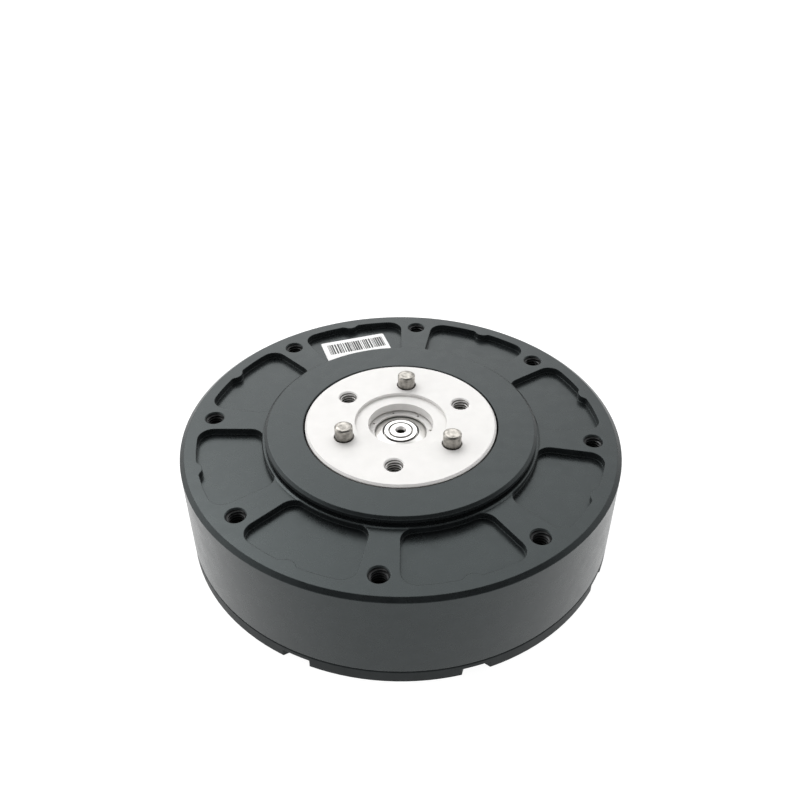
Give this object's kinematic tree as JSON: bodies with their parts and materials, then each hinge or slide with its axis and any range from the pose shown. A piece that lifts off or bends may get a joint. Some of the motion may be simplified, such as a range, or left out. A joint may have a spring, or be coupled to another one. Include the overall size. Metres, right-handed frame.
{
  "type": "flat geared motor",
  "caption": "Flat round gear motor with a ribbed black housing, a light metal output flange carrying drive pins and threaded holes, and a rear cover with a notched edge.",
  "frame": {"origin": "centre of the rear face, on the motor's axis", "axes": "+Z along the axis, from the rear cover towards the output flange; a drive pin lies near +Y"},
  "size_m": [0.098, 0.098, 0.0298],
  "materials": {
    "black_anodised": "satin black anodised",
    "silver_anodised": "fine matt, clear anodised",
    "bare_aluminium": "turned",
    "pin_steel": "ground",
    "gear_steel": "hobbed",
    "bearing_steel": "ground",
    "polished_steel": "polished",
    "pressed_steel": "pressed",
    "black_screw_steel": "black oxide",
    "nickel_plated_steel": "nickel plated",
    "lamination_steel": "stacked sheet",
    "bronze": "sintered",
    "enamelled_copper": "glossy enamel",
    "gold_contact": "plated",
    "seal_rubber": "matt",
    "wire_sleeve": "smooth",
    "insulator_plastic": "moulded",
    "board_green": "solder resist",
    "chip_black": "moulded",
    "capacitor_can": "drawn",
    "socket_plastic": "moulded",
    "label_paper": "printed bars"
  },
  "bodies": {
    "housing": {"front_housing": "black_anodised", "inner_tube": "bare_aluminium", "bearing_retainer": "black_anodised", "barcode_label": "label_paper", "ring_gear": "gear_steel", "output_bearing_outer_race": "bearing_steel", "output_bearing_seal": "seal_rubber", "stator_core": "lamination_steel", "slot_insulators": "insulator_plastic", "coils": "enamelled_copper", "phase_wires": "wire_sleeve", "rear_bearing_plate": "bare_aluminium", "rear_bearing_outer_race": "bearing_steel", "wave_spring": "pressed_steel", "circuit_board": "board_green", "board_screws": "black_screw_steel", "power_transistors": "chip_black", "capacitors": "capacitor_can", "control_chips": "chip_black", "encoder_chip": "chip_black", "power_socket": "socket_plastic", "signal_sockets": "socket_plastic", "socket_contacts": "gold_contact", "rear_cover": "black_anodised", "cover_screws": "black_screw_steel"},
    "output": {"output_flange": "silver_anodised", "drive_pins": "pin_steel", "carrier_plate": "bare_aluminium", "carrier_screws": "black_screw_steel", "planet_washers": "pressed_steel", "output_bearing_inner_race": "bearing_steel", "front_bearing_outer_race": "bearing_steel", "front_bearing_shield": "pressed_steel", "bearing_lock_ring": "silver_anodised"},
    "rotor": {"rotor_shaft": "pin_steel", "sun_gear": "gear_steel", "rotor_hub": "bare_aluminium", "flux_ring": "nickel_plated_steel", "magnets": "nickel_plated_steel", "encoder_magnet": "nickel_plated_steel", "front_bearing_inner_race": "bearing_steel", "rear_bearing_inner_race": "bearing_steel", "spacer_shim": "pressed_steel"},
    "planet_1": {"planet_gear_1": "gear_steel", "planet_bush_1": "bronze"},
    "planet_2": {"planet_gear_2": "gear_steel", "planet_bush_2": "bronze"},
    "planet_3": {"planet_gear_3": "gear_steel", "planet_bush_3": "bronze"},
    "output_cage": {"output_bearing_balls": "polished_steel", "output_bearing_cage": "pressed_steel"},
    "front_cage": {"front_bearing_balls": "polished_steel", "front_bearing_cage": "pressed_steel"},
    "rear_cage": {"rear_bearing_balls": "polished_steel", "rear_bearing_cage": "pressed_steel"}
  },
  "joints": [
    {"name": "rotor_spin", "type": "hinge", "parent": "housing", "child": "rotor", "pos_m": [0, 0, 0], "axis": [0, 0, 1], "continuous": true},
    {"name": "output_spin", "type": "hinge", "parent": "housing", "child": "output", "pos_m": [0, 0, 0], "axis": [0, 0, 1], "continuous": true},
    {"name": "planet_1_spin", "type": "hinge", "parent": "output", "child": "planet_1", "pos_m": [0.00133, 0.01358, 0.0146], "axis": [0, 0, 1], "continuous": true},
    {"name": "planet_2_spin", "type": "hinge", "parent": "output", "child": "planet_2", "pos_m": [-0.01243, -0.00564, 0.0146], "axis": [0, 0, 1], "continuous": true},
    {"name": "planet_3_spin", "type": "hinge", "parent": "output", "child": "planet_3", "pos_m": [0.0111, -0.00795, 0.0146], "axis": [0, 0, 1], "continuous": true},
    {"name": "output_cage_spin", "type": "hinge", "parent": "housing", "child": "output_cage", "pos_m": [0, 0, 0], "axis": [0, 0, 1], "continuous": true},
    {"name": "front_cage_spin", "type": "hinge", "parent": "output", "child": "front_cage", "pos_m": [0, 0, 0], "axis": [0, 0, 1], "continuous": true},
    {"name": "rear_cage_spin", "type": "hinge", "parent": "housing", "child": "rear_cage", "pos_m": [0, 0, 0], "axis": [0, 0, 1], "continuous": true}
  ],
  "couplings": [
    {"joint": "output_spin", "follows": "rotor_spin", "ratio": 0.16667},
    {"joint": "planet_1_spin", "follows": "rotor_spin", "ratio": -0.41667},
    {"joint": "planet_2_spin", "follows": "rotor_spin", "ratio": -0.41667},
    {"joint": "planet_3_spin", "follows": "rotor_spin", "ratio": -0.41667},
    {"joint": "output_cage_spin", "follows": "rotor_spin", "ratio": 0.077772},
    {"joint": "front_cage_spin", "follows": "rotor_spin", "ratio": 0.31966},
    {"joint": "rear_cage_spin", "follows": "rotor_spin", "ratio": 0.40625}
  ]
}
